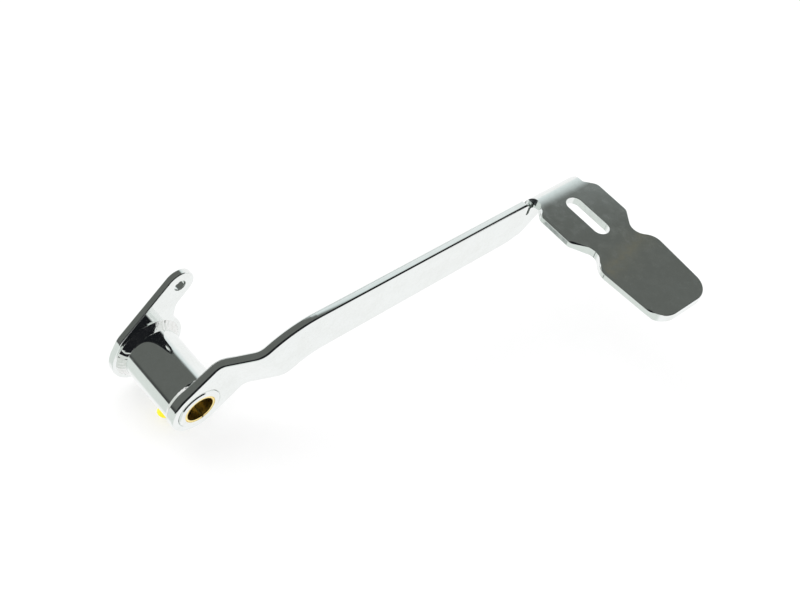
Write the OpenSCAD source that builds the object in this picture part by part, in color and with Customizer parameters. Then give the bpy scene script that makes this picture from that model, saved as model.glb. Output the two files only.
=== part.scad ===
// Rear brake pedal: a cranked flat bar folded into a foot pad, on a bushed pivot tube with a rod lever
// X runs along the pivot towards the rider's side, Y forward along the bar, Z up out of the foot pad

/* [Pivot] */
// Diameter of the shaft that the pedal turns on
shaft_d = 19.05; // [16:0.05:22]
// Running clearance on the shaft's radius
shaft_gap = 0.05; // [0.02:0.01:0.09]
// Outside diameter of the pivot tube
tube_d = 38.1; // [36:0.1:42]
// Length of tube seen between the bar and the rod lever
tube_run = 49.4; // [44:0.2:70]
// Diameter of the turned-down tube ends
spigot_d = 30.2; // [29:0.05:34]
// How far each turned end stands out of its plate
spigot_proud = 0.8; // [0.4:0.1:2]
// Radial gap between a turned end and the hole in its plate
spigot_gap = 0.1; // [0.05:0.05:0.2]
// Depth of the bevel round the hole in the bar and round the tube's end
mouth_bevel = 0.7; // [0.3:0.1:1]

/* [Bushes] */
// Wall of each bronze bush
bush_wall = 1.6; // [1.2:0.1:2.4]
// Length of each bush
bush_len = 19; // [14:0.5:21]
// How far each bush lies back from the tube's end
bush_set = 0.2; // [0:0.1:0.8]
// Bevel at the ends of a bush
bush_bevel = 0.4; // [0.2:0.1:0.6]
// Width of the seam where the rolled bush closes
bush_seam = 1; // [0.2:0.1:1]
// Direction of the seam, counted down from straight forward
seam_angle = 73; // [0:1:180]

/* [Bar] */
// Thickness of the bar and the foot pad
plate_t = 6.35; // [5:0.05:8]
// Metal left outside the tube at the bar's round end
boss_margin = 0.95; // [0.6:0.05:3]
// Angle at which the bar climbs away from the pivot
climb = 35.5; // [30:0.5:40]
// Height of the bar's top edge above the pivot axis
bar_top = 58.5; // [54:0.5:66]
// Depth of the bar where it levels off
bar_depth = 35.9; // [30:0.1:40]
// Depth of the bar beside the foot pad
bar_depth_end = 33.3; // [28:0.1:36]
// Distance forward from the pivot axis to the relief slot
bar_run = 257.4; // [220:0.2:300]
// Radius of the top edge where the bar levels off
top_sweep = 75; // [40:1:90]
// Radius of the lower edge where the bar levels off
low_sweep = 50; // [20:1:70]
// Radius of the lower edge where it climbs to the fold
heel_sweep = 30; // [15:1:36]

/* [Joggle] */
// Sideways step in the bar
joggle = 16; // [10:0.5:20]
// Slope of the bar through the step
joggle_angle = 35; // [30:1:45]
// Distance along the climbing bar from the pivot axis to the middle of the step
joggle_at = 41.2; // [39:0.2:48]
// Inside radius of the two bends of the step
joggle_r = 12; // [3:0.5:14]

/* [Foot pad] */
// Height of the foot pad's face above the bar's top edge
pad_rise = 5.8; // [4:0.1:12]
// Inside radius of the fold
fold_r = 6.35; // [4:0.05:9]
// Width of the fold along the bar
fold_w = 43; // [36:0.5:50]
// Width of the relief slot beside the fold
relief_w = 2.7; // [1.6:0.1:4]
// Depth of the relief slot below the start of the fold
relief_drop = 3.6; // [2:0.1:6]
// Depth of the lip left below the fold
lip = 6.6; // [5:0.1:10]
// Radius at the mouth of the relief slot
relief_mouth_r = 2; // [1:0.1:3]
// Radius at the lower far corner of the lip
lip_r = 4; // [2:0.1:6]
// Radius where the lip's lower edge meets the heel
lip_heel_r = 8; // [4:0.5:12]
// Reach of the foot pad from the bar's outer face
pad_reach = 124.4; // [110:0.2:140]
// Width of the foot pad
pad_w = 57.8; // [52:0.2:66]
// Width that the foot pad would have at its square tip
tip_w = 50.6; // [46:0.2:60]
// Corner radius at the tip of the foot pad
tip_r = 15; // [8:0.5:20]
// Radius where the shoulders beside the fold reach the full width
shoulder_r = 7; // [4:0.5:10]
// Distance from the bar's outer face to the waist in the foot pad
waist_at = 58.4; // [54:0.2:64]
// Width at the bottom of the notches before they are rounded
waist_w = 33.4; // [28:0.2:40]
// Length of the notch on the bar's side of the waist
notch_in = 16.2; // [12:0.1:20]
// Length of the notch on the tip's side of the waist
notch_out = 11.6; // [9:0.1:16]
// Radius at the bottom of the notches
notch_r = 9; // [4:0.5:10]
// Radius where the notches leave the slotted part
notch_in_r = 6; // [3:0.5:8]
// Radius where the notches reach the tip's part
notch_out_r = 12; // [8:0.5:14]
// Length of the slot in the foot pad
slot_len = 37; // [28:0.5:40]
// Width of the slot in the foot pad
slot_w = 12.2; // [9:0.1:16]
// Distance from the bar's outer face to the middle of the slot
slot_at = 31.4; // [28:0.2:33]

/* [Rod lever] */
// Thickness of the rod lever
lever_t = 4.8; // [4:0.1:6.4]
// Distance from the pivot axis to the rod pin
lever_len = 52.3; // [46:0.1:64]
// Direction of the rod lever, counted from straight forward
lever_angle = 67; // [50:1:90]
// Hole for the rod pin
pin_d = 8.2; // [6:0.1:10]
// Radius of the lever's end round the pin
pin_boss_r = 10.5; // [9:0.1:12]
// Radius of the lever's foot round the tube
lever_foot_r = 26; // [24:0.2:28]
// Slope of the lever's straight back edge against its own centreline
lever_back_slope = 19.6; // [10:0.2:24]
// Where the back edge ends above the pivot axis, along the lever
lever_heel = 9; // [4:0.5:14]
// Slope of the lever's front edge below the pin
lever_front_slope = 17.7; // [8:0.1:24]
// Distance from the pin back to the hollow in the front edge
lever_pinch = 16.8; // [14:0.2:19]
// Radius of the hollow in the front edge
lever_pinch_r = 10; // [6:0.5:14]
// Where the front edge runs into the foot, counted from the lever's centreline
lever_foot_angle = 22; // [18:1:30]
// Radius where the back edge turns into the foot
lever_heel_r = 14; // [8:0.5:18]

/* [Welds] */
// Length of the bead on the tube behind the bar
arm_bead = 2.4; // [1.5:0.1:4]
// Leg of the bead between the tube and the rod lever
lever_bead = 4.5; // [3:0.1:5]
// How far the middle of that bead stands out, as a share of its leg
bead_crown = 0.62; // [0.5:0.01:0.7]

/* [Grease nipple] */
// Distance from the bar's outer face back to the grease nipple
nipple_at = 24; // [23:0.5:30]
// Direction of the nipple, counted down from straight back
nipple_angle = 74; // [0:1:90]
// Thread diameter of the nipple
nipple_thread = 6.35; // [5:0.05:8]
// Width across the flats of the nipple's hexagon
nipple_hex = 8; // [8:0.1:10]
// Height of the hexagon
nipple_hex_h = 3.2; // [2:0.1:5]
// Diameter of the nipple's head
nipple_head_d = 6.4; // [6:0.1:7]
// Height of the head's tip above the hexagon
nipple_head_h = 6.6; // [6:0.1:8]
// Diameter of the check ball
ball_d = 2.4; // [2:0.1:2.6]
// Wire of the spring under the check ball
spring_wire = 0.3; // [0.2:0.05:0.4]
// Turns of the spring under the check ball
spring_turns = 5; // [4:1:7]
// Wall of the plastic cap over the nipple
cap_wall = 1.1; // [0.8:0.1:2]
// Radius round the cap's closed end
cap_dome = 1.4; // [0.8:0.1:2]

/* [Hidden] */
// Overlap of joined shapes, and how far a cutter runs past the metal
eps = 0.01;
cut = 1;
// Parts of a full turn, of the ball and of one rounded corner
round_fn = 96;
ball_fn = 48;
arc_steps = 14;
chrome = "Silver";
bronze = "DarkGoldenrod";
steel = "DarkGray";

tube_r = tube_d / 2;
spigot_r = spigot_d / 2;
bore_r = shaft_d / 2 + shaft_gap;
bush_r = bore_r + bush_wall;
boss_r = tube_r + boss_margin;
shaft_step = -plate_t;
lever_face = -plate_t - tube_run;
lever_back = lever_face - lever_t;
tube_outer_end = spigot_proud;
tube_inner_end = lever_back - spigot_proud;

fold_out_r = fold_r + plate_t;
pad_top = bar_top + pad_rise;
pad_bottom = pad_top - plate_t;
fold_z = pad_top - fold_out_r;
fold_x = joggle - plate_t + fold_out_r;
fold_y = bar_run + relief_w;
pad_y = fold_y + fold_w / 2;
pad_tip = joggle + pad_reach;
waist_x = joggle + waist_at;
slot_x = joggle + slot_at;
bar_low = bar_top - bar_depth;
bar_low_end = bar_top - bar_depth_end;
lip_z = fold_z - lip;

// Spot face for the nipple: its margin round the hexagon and its depth in the tube
seat_margin = 0.6;
seat_cut = 0.1;
nipple_seat_d = nipple_hex / cos(30) + seat_margin;
nipple_seat = sqrt(tube_r ^ 2 - (nipple_seat_d / 2) ^ 2) - seat_cut;
// Gap between the nipple's foot and the bush, and thickness of the ledge that the spring stands on
foot_gap = 1;
ledge_h = 0.7;
nipple_foot = bush_r + foot_gap;
spring_foot = nipple_foot + ledge_h;
hex_top = nipple_seat + nipple_hex_h;
head_top = hex_top + nipple_head_h;
head_r = nipple_head_d / 2;
// Collar over the hexagon, neck, and the head's flare, rim and cone
collar_in = 0.2;
collar_h = 1;
neck_in = 1;
flare_h = 1.6;
rim_h = 0.4;
cone_h = 2.2;
head_wide = head_top - cone_h;
// Chamber for the ball, the mouth that it closes and the passage under the spring
ball_gap = 0.3;
chamber_d = ball_d + ball_gap;
mouth_d = ball_d * 0.7;
passage_d = ball_d * 0.5;
mouth_h = 1;
mouth_wall = 0.5;
seat_h = (chamber_d - mouth_d) / 2;
// Gap left between pieces that touch
touch_gap = 0.02;
// The ball rests where its own slope meets the 45 degree seat under the mouth
ball_drop = ball_d / 2 * sqrt(2) - chamber_d / 2 + touch_gap;
ball_z = head_top - mouth_h - seat_h - ball_drop;
// Radius of the spring's coil, clear of the chamber's wall
spring_side = 0.15;
spring_r = (ball_d - spring_wire) / 2 - spring_side;
// Gap round the nipple's head inside the cap, and the bead round the cap's mouth
cap_gap = 0.15;
cap_bead = 0.4;
cap_bead_h = 1;
cap_bead_slope = 0.3;

// A point on a circle
function on_circle(c, r, a) = c + r * [cos(a), sin(a)];
// The points of one arc
function arc(c, r, from, to, n) = [for (i = [0:n]) on_circle(c, r, from + (to - from) * i / n)];
function unit(v) = v / norm(v);
// Replaces the corner p between a and b by an arc of radius r
function corner(a, p, b, r) =
    let (
        u = unit(a - p),
        v = unit(b - p),
        half = acos(u * v) / 2,
        c = p + unit(u + v) * r / sin(half),
        s = p + u * r / tan(half) - c,
        e = p + v * r / tan(half) - c,
        from = atan2(s[1], s[0]),
        turn = atan2(s[0] * e[1] - s[1] * e[0], s * e)
    )
    arc(c, r, from, from + turn, arc_steps);
// An outline from [x, y, radius] corners
function rounded(p) =
    let (n = len(p))
    [
        for (i = [0:n - 1])
            let (a = p[(i + n - 1) % n], q = p[i], b = p[(i + 1) % n])
            each q[2] > 0 ? corner([a[0], a[1]], [q[0], q[1]], [b[0], b[1]], q[2]) : [[q[0], q[1]]]
    ];

// Draws an outline in the Y-Z plane and gives it a depth along X
module along_x(x0, x1) {
    translate([x0, 0, 0]) rotate([90, 0, 90]) linear_extrude(x1 - x0) children();
}

// A straight cylinder along X
module rod_x(r, x0, x1) {
    translate([x0, 0, 0]) rotate([0, 90, 0]) cylinder(r = r, h = x1 - x0, $fn = round_fn);
}

// A cone along X
module cone_x(r0, r1, x0, x1) {
    translate([x0, 0, 0]) rotate([0, 90, 0]) cylinder(r1 = r0, r2 = r1, h = x1 - x0, $fn = round_fn);
}

// Side view of the bar: round end, climb, level run, relief slot and the lip under the fold
module bar_outline() {
    s = sin(climb);
    c = cos(climb);
    top_corner = (bar_top * c - boss_r) / s;
    low_corner = (bar_low * c + boss_r) / s;
    heel = bar_run - relief_w / 2;
    heel_x = lip_z - bar_low_end;
    circle(r = boss_r, $fn = round_fn);
    polygon(rounded([
        [-boss_r * s, boss_r * c, 0],
        [top_corner, bar_top, top_sweep],
        [bar_run, bar_top, relief_mouth_r],
        [bar_run, fold_z - relief_drop, relief_w / 2 - eps],
        [fold_y, fold_z - relief_drop, relief_w / 2 - eps],
        [fold_y, fold_z, 0],
        [fold_y + fold_w, fold_z, 0],
        [fold_y + fold_w, lip_z, lip_r],
        [heel + heel_x, lip_z, lip_heel_r],
        [heel, bar_low_end, heel_sweep],
        [low_corner, bar_low, low_sweep],
        [boss_r * s, -boss_r * c, 0]
    ]));
}

// Section of the bar through its sideways step, as distance along the climb and position along the pivot
module joggle_section() {
    inner = joggle_r;
    outer = joggle_r + plate_t;
    a = joggle_angle;
    rise = joggle - (inner + outer) * (1 - cos(a));
    run = rise / tan(a) + (inner + outer) * sin(a);
    start = joggle_at - run / 2;
    end = joggle_at + run / 2;
    far = bar_run + fold_w + joggle_at;
    c0 = [start, inner];
    c1 = [end, joggle - plate_t - inner];
    polygon(concat(
        [[-2 * boss_r, 0]],
        arc(c0, inner, -90, a - 90, arc_steps),
        arc(c1, outer, 90 + a, 90, arc_steps),
        [[far, joggle], [far, joggle - plate_t]],
        arc(c1, inner, 90, 90 + a, arc_steps),
        arc(c0, outer, a - 90, -90, arc_steps),
        [[-2 * boss_r, -plate_t]]
    ));
}

// Plan of the foot pad: shoulders by the fold, slotted part, waist and rounded tip
module pad_outline() {
    h = pad_w / 2;
    shoulder = h - fold_w / 2;
    tip = tip_w / 2;
    side = [
        [fold_x, fold_w / 2, 0],
        [fold_x + shoulder, h, shoulder_r],
        [waist_x - notch_in, h, notch_in_r],
        [waist_x, waist_w / 2, notch_r],
        [waist_x + notch_out, h, notch_out_r],
        [pad_tip, tip, tip_r]
    ];
    other = [for (i = [len(side) - 1:-1:0]) [side[i][0], -side[i][1], side[i][2]]];
    translate([0, pad_y]) polygon(rounded(concat(side, other)));
}

// The slot in the foot pad, round at both ends
module pad_slot() {
    reach = (slot_len - slot_w) / 2;
    depth = plate_t + 2 * cut;
    translate([slot_x, pad_y, pad_bottom - cut]) {
        for (s = [-1, 1])
            translate([s * reach, 0, 0]) cylinder(d = slot_w, h = depth, $fn = round_fn);
        translate([-reach, -slot_w / 2, 0]) cube([2 * reach, slot_w, depth]);
    }
}

module brake_arm() {
    color(chrome) difference() {
        union() {
            intersection() {
                along_x(-plate_t - cut, joggle + cut) bar_outline();
                rotate([climb, 0, 0]) rotate([180, 0, 90])
                    translate([0, 0, -2 * bar_run]) linear_extrude(4 * bar_run) joggle_section();
            }
            translate([fold_x, fold_y + fold_w, fold_z]) rotate([90, 0, 0]) linear_extrude(fold_w)
                intersection() {
                    difference() {
                        circle(r = fold_out_r, $fn = round_fn);
                        circle(r = fold_r, $fn = round_fn);
                    }
                    translate([-fold_out_r, 0]) square(fold_out_r);
                }
            translate([0, 0, pad_bottom]) linear_extrude(plate_t) pad_outline();
        }
        pad_slot();
        rod_x(spigot_r + spigot_gap, -plate_t - cut, cut);
        cone_x(spigot_r + spigot_gap, spigot_r + spigot_gap + mouth_bevel + eps, -mouth_bevel, eps);
    }
}

module pivot_tube() {
    color(chrome) difference() {
        union() {
            rod_x(tube_r, lever_face, shaft_step);
            rod_x(spigot_r, shaft_step - eps, tube_outer_end - mouth_bevel);
            cone_x(spigot_r, spigot_r - mouth_bevel, tube_outer_end - mouth_bevel, tube_outer_end);
            rod_x(spigot_r, tube_inner_end + mouth_bevel, lever_face + eps);
            cone_x(spigot_r - mouth_bevel, spigot_r, tube_inner_end, tube_inner_end + mouth_bevel);
        }
        rod_x(bush_r, tube_inner_end - cut, tube_outer_end + cut);
        at_nipple(0) cylinder(d = nipple_thread, h = tube_r + cut, $fn = round_fn);
        at_nipple(nipple_seat) cylinder(d = nipple_seat_d, h = tube_r, $fn = round_fn);
    }
}

// One rolled bush with its outer end at x and its body towards -X
module bush(x) {
    color(bronze) difference() {
        translate([x - bush_len, 0, 0]) rotate([90, 0, 90]) rotate_extrude($fn = round_fn)
            polygon([
                [bore_r, 0],
                [bush_r - bush_bevel, 0],
                [bush_r, bush_bevel],
                [bush_r, bush_len - bush_bevel],
                [bush_r - bush_bevel, bush_len],
                [bore_r, bush_len]
            ]);
        rotate([-seam_angle, 0, 0]) translate([x - bush_len - cut, bore_r - cut, -bush_seam / 2])
            cube([bush_len + 2 * cut, bush_wall + 2 * cut, bush_seam]);
    }
}

module outer_bush() {
    bush(tube_outer_end - bush_set);
}

module inner_bush() {
    bush(tube_inner_end + bush_set + bush_len);
}

// Side view of the rod lever, with the pin on the first axis and the straight back edge above it
module lever_outline() {
    pin = [lever_len, 0];
    back = on_circle(pin, pin_boss_r, 90 - lever_back_slope);
    front = on_circle(pin, pin_boss_r, -90 - lever_front_slope);
    heel_w = back[1] + tan(lever_back_slope) * (back[0] - lever_heel);
    pinch_u = lever_len - lever_pinch;
    pinch_w = front[1] + tan(lever_front_slope) * (front[0] - pinch_u);
    foot = on_circle([0, 0], lever_foot_r, -lever_foot_angle);
    circle(r = lever_foot_r, $fn = round_fn);
    translate(pin) circle(r = pin_boss_r, $fn = round_fn);
    polygon(rounded([
        [0, 0, 0],
        [foot[0], foot[1], 0],
        [pinch_u, pinch_w, lever_pinch_r],
        [front[0], front[1], 0],
        [back[0], back[1], 0],
        [lever_heel, heel_w, lever_heel_r],
        [0, lever_foot_r, 0]
    ]));
}

module rod_lever() {
    color(chrome) difference() {
        along_x(lever_back, lever_face) rotate(lever_angle) lever_outline();
        rod_x(spigot_r + spigot_gap, lever_back - cut, lever_face + cut);
        rotate([lever_angle, 0, 0]) translate([lever_back - cut, lever_len, 0]) rotate([0, 90, 0])
            cylinder(d = pin_d, h = lever_t + 2 * cut, $fn = round_fn);
    }
}

module arm_weld() {
    color(chrome) translate([shaft_step, 0, 0]) rotate([90, 0, -90]) rotate_extrude($fn = round_fn)
        polygon([[tube_r, 0], [boss_r, 0], [tube_r + boss_margin / 2, arm_bead / 2], [tube_r, arm_bead]]);
}

module lever_weld() {
    crown = lever_bead * bead_crown;
    color(chrome) translate([lever_face, 0, 0]) rotate([90, 0, 90]) rotate_extrude($fn = round_fn)
        polygon([
            [tube_r, 0],
            [tube_r + lever_bead, 0],
            [tube_r + crown, crown],
            [tube_r, lever_bead]
        ]);
}

// Stands a piece on the nipple's axis, r away from the pivot axis
module at_nipple(r) {
    translate([-nipple_at, 0, 0]) rotate([90 + nipple_angle, 0, 0]) translate([0, 0, r]) children();
}

module nipple_body() {
    color(steel) at_nipple(0) difference() {
        union() {
            translate([0, 0, nipple_foot])
                cylinder(d = nipple_thread, h = nipple_seat - nipple_foot + eps, $fn = round_fn);
            translate([0, 0, nipple_seat]) cylinder(d = nipple_hex / cos(30), h = nipple_hex_h, $fn = 6);
            rotate_extrude($fn = round_fn) polygon([
                [0, hex_top - eps],
                [head_r - collar_in, hex_top - eps],
                [head_r - neck_in, hex_top + collar_h],
                [head_r - neck_in, head_wide - flare_h],
                [head_r, head_wide - rim_h],
                [head_r, head_wide],
                [mouth_d / 2 + mouth_wall, head_top],
                [0, head_top]
            ]);
        }
        rotate_extrude($fn = round_fn) polygon([
            [0, nipple_foot - cut],
            [passage_d / 2, nipple_foot - cut],
            [passage_d / 2, spring_foot],
            [chamber_d / 2, spring_foot],
            [chamber_d / 2, head_top - mouth_h - seat_h],
            [mouth_d / 2, head_top - mouth_h],
            [mouth_d / 2, head_top + cut],
            [0, head_top + cut]
        ]);
    }
}

module nipple_ball() {
    color(steel) at_nipple(ball_z) sphere(d = ball_d, $fn = ball_fn);
}

// A coil of round wire from the chamber's foot to the ball, closed at both ends
module nipple_spring() {
    sides = 8;
    steps = 14;
    rings = steps * spring_turns;
    low = spring_foot + spring_wire / 2 + touch_gap;
    touch = sqrt(((ball_d + spring_wire) / 2 + touch_gap) ^ 2 - spring_r ^ 2);
    high = ball_z - touch;
    pts = [
        for (i = [0:rings], j = [0:sides - 1])
            let (
                a = 360 * i / steps,
                b = 360 * j / sides,
                r = spring_r + spring_wire / 2 * cos(b)
            )
            [r * cos(a), r * sin(a), low + (high - low) * i / rings + spring_wire / 2 * sin(b)]
    ];
    walls = [
        for (i = [0:rings - 1], j = [0:sides - 1])
            let (k = (j + 1) % sides)
            each [
                [i * sides + j, i * sides + k, (i + 1) * sides + k],
                [i * sides + j, (i + 1) * sides + k, (i + 1) * sides + j]
            ]
    ];
    ends = [[for (j = [sides - 1:-1:0]) j], [for (j = [0:sides - 1]) rings * sides + j]];
    color(steel) at_nipple(0) polyhedron(points = pts, faces = concat(walls, ends));
}

// Push-on cap: a round-topped cup that grips under the nipple's head
module nipple_cap() {
    in_r = head_r + cap_gap;
    out_r = in_r + cap_wall;
    bead_r = out_r + cap_bead;
    foot = hex_top + cap_gap;
    bead_top = foot + cap_bead_h;
    roof = head_top + cap_gap;
    top = roof + cap_wall;
    color("Gold") at_nipple(0) rotate_extrude($fn = round_fn) polygon(concat(
        [[in_r, foot], [bead_r, foot], [bead_r, bead_top], [out_r, bead_top + cap_bead_slope]],
        arc([out_r - cap_dome, top - cap_dome], cap_dome, 0, 90, arc_steps),
        [[0, top], [0, roof], [in_r, roof]]
    ));
}

brake_arm();
pivot_tube();
outer_bush();
inner_bush();
rod_lever();
arm_weld();
lever_weld();
nipple_body();
nipple_ball();
nipple_spring();
nipple_cap();
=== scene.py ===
"""Looks of a motorcycle rear brake pedal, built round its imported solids.

All sizes are metres in the pedal's own frame. The origin lies on the pivot axis at the bar's outer
face. X runs along the pivot to the side that the foot pad is folded to, Y forward along the bar,
Z up out of the foot pad.
"""
import logging
import math
from dataclasses import dataclass, replace
from enum import Enum
from functools import cache
from typing import Callable, Optional, Sequence, Union

import bmesh
import bpy
from bmesh.types import BMEdge, BMesh, BMFace, BMLoop, BMVert
from bpy.types import Material, Mesh, Node, NodeSocket, NodeTree, Object, World
from mathutils import Matrix, Vector


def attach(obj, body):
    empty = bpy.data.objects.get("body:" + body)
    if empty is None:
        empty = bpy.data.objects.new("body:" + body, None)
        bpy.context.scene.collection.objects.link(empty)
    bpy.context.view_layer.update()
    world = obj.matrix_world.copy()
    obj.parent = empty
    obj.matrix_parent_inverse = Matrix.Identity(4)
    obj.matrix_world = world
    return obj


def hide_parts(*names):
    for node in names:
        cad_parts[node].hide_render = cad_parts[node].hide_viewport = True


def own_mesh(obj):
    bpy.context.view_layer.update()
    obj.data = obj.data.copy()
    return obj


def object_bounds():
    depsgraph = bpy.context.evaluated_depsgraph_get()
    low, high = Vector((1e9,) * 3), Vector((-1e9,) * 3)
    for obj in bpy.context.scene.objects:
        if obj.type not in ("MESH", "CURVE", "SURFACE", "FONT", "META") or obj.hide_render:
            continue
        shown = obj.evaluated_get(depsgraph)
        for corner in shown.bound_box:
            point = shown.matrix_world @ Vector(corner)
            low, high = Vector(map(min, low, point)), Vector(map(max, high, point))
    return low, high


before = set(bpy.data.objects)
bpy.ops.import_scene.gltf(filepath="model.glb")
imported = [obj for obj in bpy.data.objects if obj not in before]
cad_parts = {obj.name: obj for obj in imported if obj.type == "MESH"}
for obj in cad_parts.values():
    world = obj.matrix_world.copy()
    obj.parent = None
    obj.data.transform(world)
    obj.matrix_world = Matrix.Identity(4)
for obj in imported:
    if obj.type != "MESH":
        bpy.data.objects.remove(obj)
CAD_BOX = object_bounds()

log = logging.getLogger("brake_pedal")

MM = 0.001
WELD_GAP = 2e-6
CUT_SNAP = 0.06 * MM
HOLE_SNAP = 1e-7
FLAT_ANGLE = math.radians(0.3)
NEAR = 1e-5
VERY_NEAR = 1e-6
NODE_STEP = 220
Triple = tuple[float, float, float]
Colour = Triple
Span = tuple[float, float]
Value = Union[NodeSocket, float, int, bool, Sequence[float], None]
WHITE: Colour = (1.0, 1.0, 1.0)


class Socket(Enum):
    """Types of the named sockets of a node group."""

    NUMBER = "NodeSocketFloat"
    COUNT = "NodeSocketInt"
    VECTOR = "NodeSocketVector"
    COLOUR = "NodeSocketColor"
    GEOMETRY = "NodeSocketGeometry"
    MATERIAL = "NodeSocketMaterial"


class Wiring:
    """A node tree with short calls that add nodes and join them."""

    def __init__(self, tree: NodeTree) -> None:
        """Takes the empty shader or geometry tree that the nodes go into."""
        self.tree = tree
        self._column = 0

    def node(self, kind: str, inputs: Optional[dict[Union[str, int], Value]] = None,
             **settings: object) -> Node:
        """Adds one node.

        Args:
            kind: The node's type name in Blender.
            inputs: What its inputs take, by name or number.
            **settings: Properties of the node, such as its operation.

        Returns:
            The new node.
        """
        made = self.tree.nodes.new(kind)
        made.location = (NODE_STEP * self._column, 0)
        self._column += 1
        for name, value in settings.items():
            setattr(made, name, value)
        for name, value in (inputs or {}).items():
            self.feed(made.inputs[name], value)
        return made

    def feed(self, socket: NodeSocket, value: Value) -> None:
        """Sets an input socket, or links it when the value is another node's output.

        Args:
            socket: The input to set.
            value: An output socket, a plain value, or None to leave the input as it is. A colour
                may leave out its alpha, which is then 1.
        """
        if isinstance(value, NodeSocket):
            self.tree.links.new(value, socket)
        elif value is not None:
            no_alpha = socket.type == "RGBA" and len(value) == 3
            socket.default_value = (*value, 1.0) if no_alpha else value

    def math(self, operation: str, *values: Value, clamp: bool = False) -> NodeSocket:
        """Adds a Math node with its inputs in order, and gives its output."""
        return self.node("ShaderNodeMath", dict(enumerate(values)), operation=operation,
                         use_clamp=clamp).outputs[0]

    def ramp(self, value: Value, low: float, high: float, to: Span = (0.0, 1.0)
             ) -> NodeSocket:
        """Maps a value smoothly from one range to another.

        Args:
            value: The value to map.
            low: Where the ramp starts.
            high: Where the ramp ends.
            to: The results at the start and the end.

        Returns:
            The mapped value.
        """
        return self.node("ShaderNodeMapRange", {
            "Value": value, "From Min": low, "From Max": high, "To Min": to[0], "To Max": to[1]
        }, interpolation_type="SMOOTHSTEP").outputs["Result"]

    def noise(self, where: Value, scale: Value, detail: float, roughness: float
              ) -> NodeSocket:
        """Adds a Noise texture.

        Args:
            where: The coordinates that it reads.
            scale: Features for each metre.
            detail: How many finer layers are added.
            roughness: How strong the finer layers are.

        Returns:
            The noise, from 0 to 1.
        """
        return self.node("ShaderNodeTexNoise", {
            "Vector": where, "Scale": scale, "Detail": detail, "Roughness": roughness
        }).outputs["Fac"]

    def mix(self, factor: Value, a: Value, b: Value) -> NodeSocket:
        """Mixes two colours.

        Args:
            factor: 0 for the first colour, 1 for the second.
            a: The first colour.
            b: The second colour.

        Returns:
            The mixed colour.
        """
        made = self.node("ShaderNodeMix", {0: factor}, data_type="RGBA")
        for socket, value in zip([s for s in made.inputs if s.type == "RGBA"], (a, b)):
            self.feed(socket, value)
        return next(s for s in made.outputs if s.type == "RGBA")

    def bump(self, height: Value, distance: float) -> NodeSocket:
        """Adds a Bump node of a height map over a distance, and gives its normal."""
        return self.node("ShaderNodeBump", {
            "Height": height, "Distance": distance}).outputs["Normal"]


def emptied(owner: Union[Material, World]) -> Wiring:
    """Clears the shader nodes of a material or a world.

    Args:
        owner: What the nodes belong to.

    Returns:
        The wiring of its tree.
    """
    owner.use_nodes = True
    owner.node_tree.nodes.clear()
    return Wiring(owner.node_tree)


def open_group(name: str, tree_type: str, inputs: dict[str, Socket],
               outputs: dict[str, Socket]) -> tuple[Wiring, Node, Node]:
    """Starts a node group with named sockets.

    Args:
        name: The group's name.
        tree_type: "ShaderNodeTree" or "GeometryNodeTree".
        inputs: The types of its inputs by name, in order.
        outputs: The types of its outputs by name, in order.

    Returns:
        The wiring of its tree, its input node and its output node.
    """
    tree = bpy.data.node_groups.new(name, tree_type)
    for sockets, way in ((inputs, "INPUT"), (outputs, "OUTPUT")):
        for label, kind in sockets.items():
            tree.interface.new_socket(label, in_out=way, socket_type=kind.value)
    wiring = Wiring(tree)
    return wiring, wiring.node("NodeGroupInput"), wiring.node("NodeGroupOutput")


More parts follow.
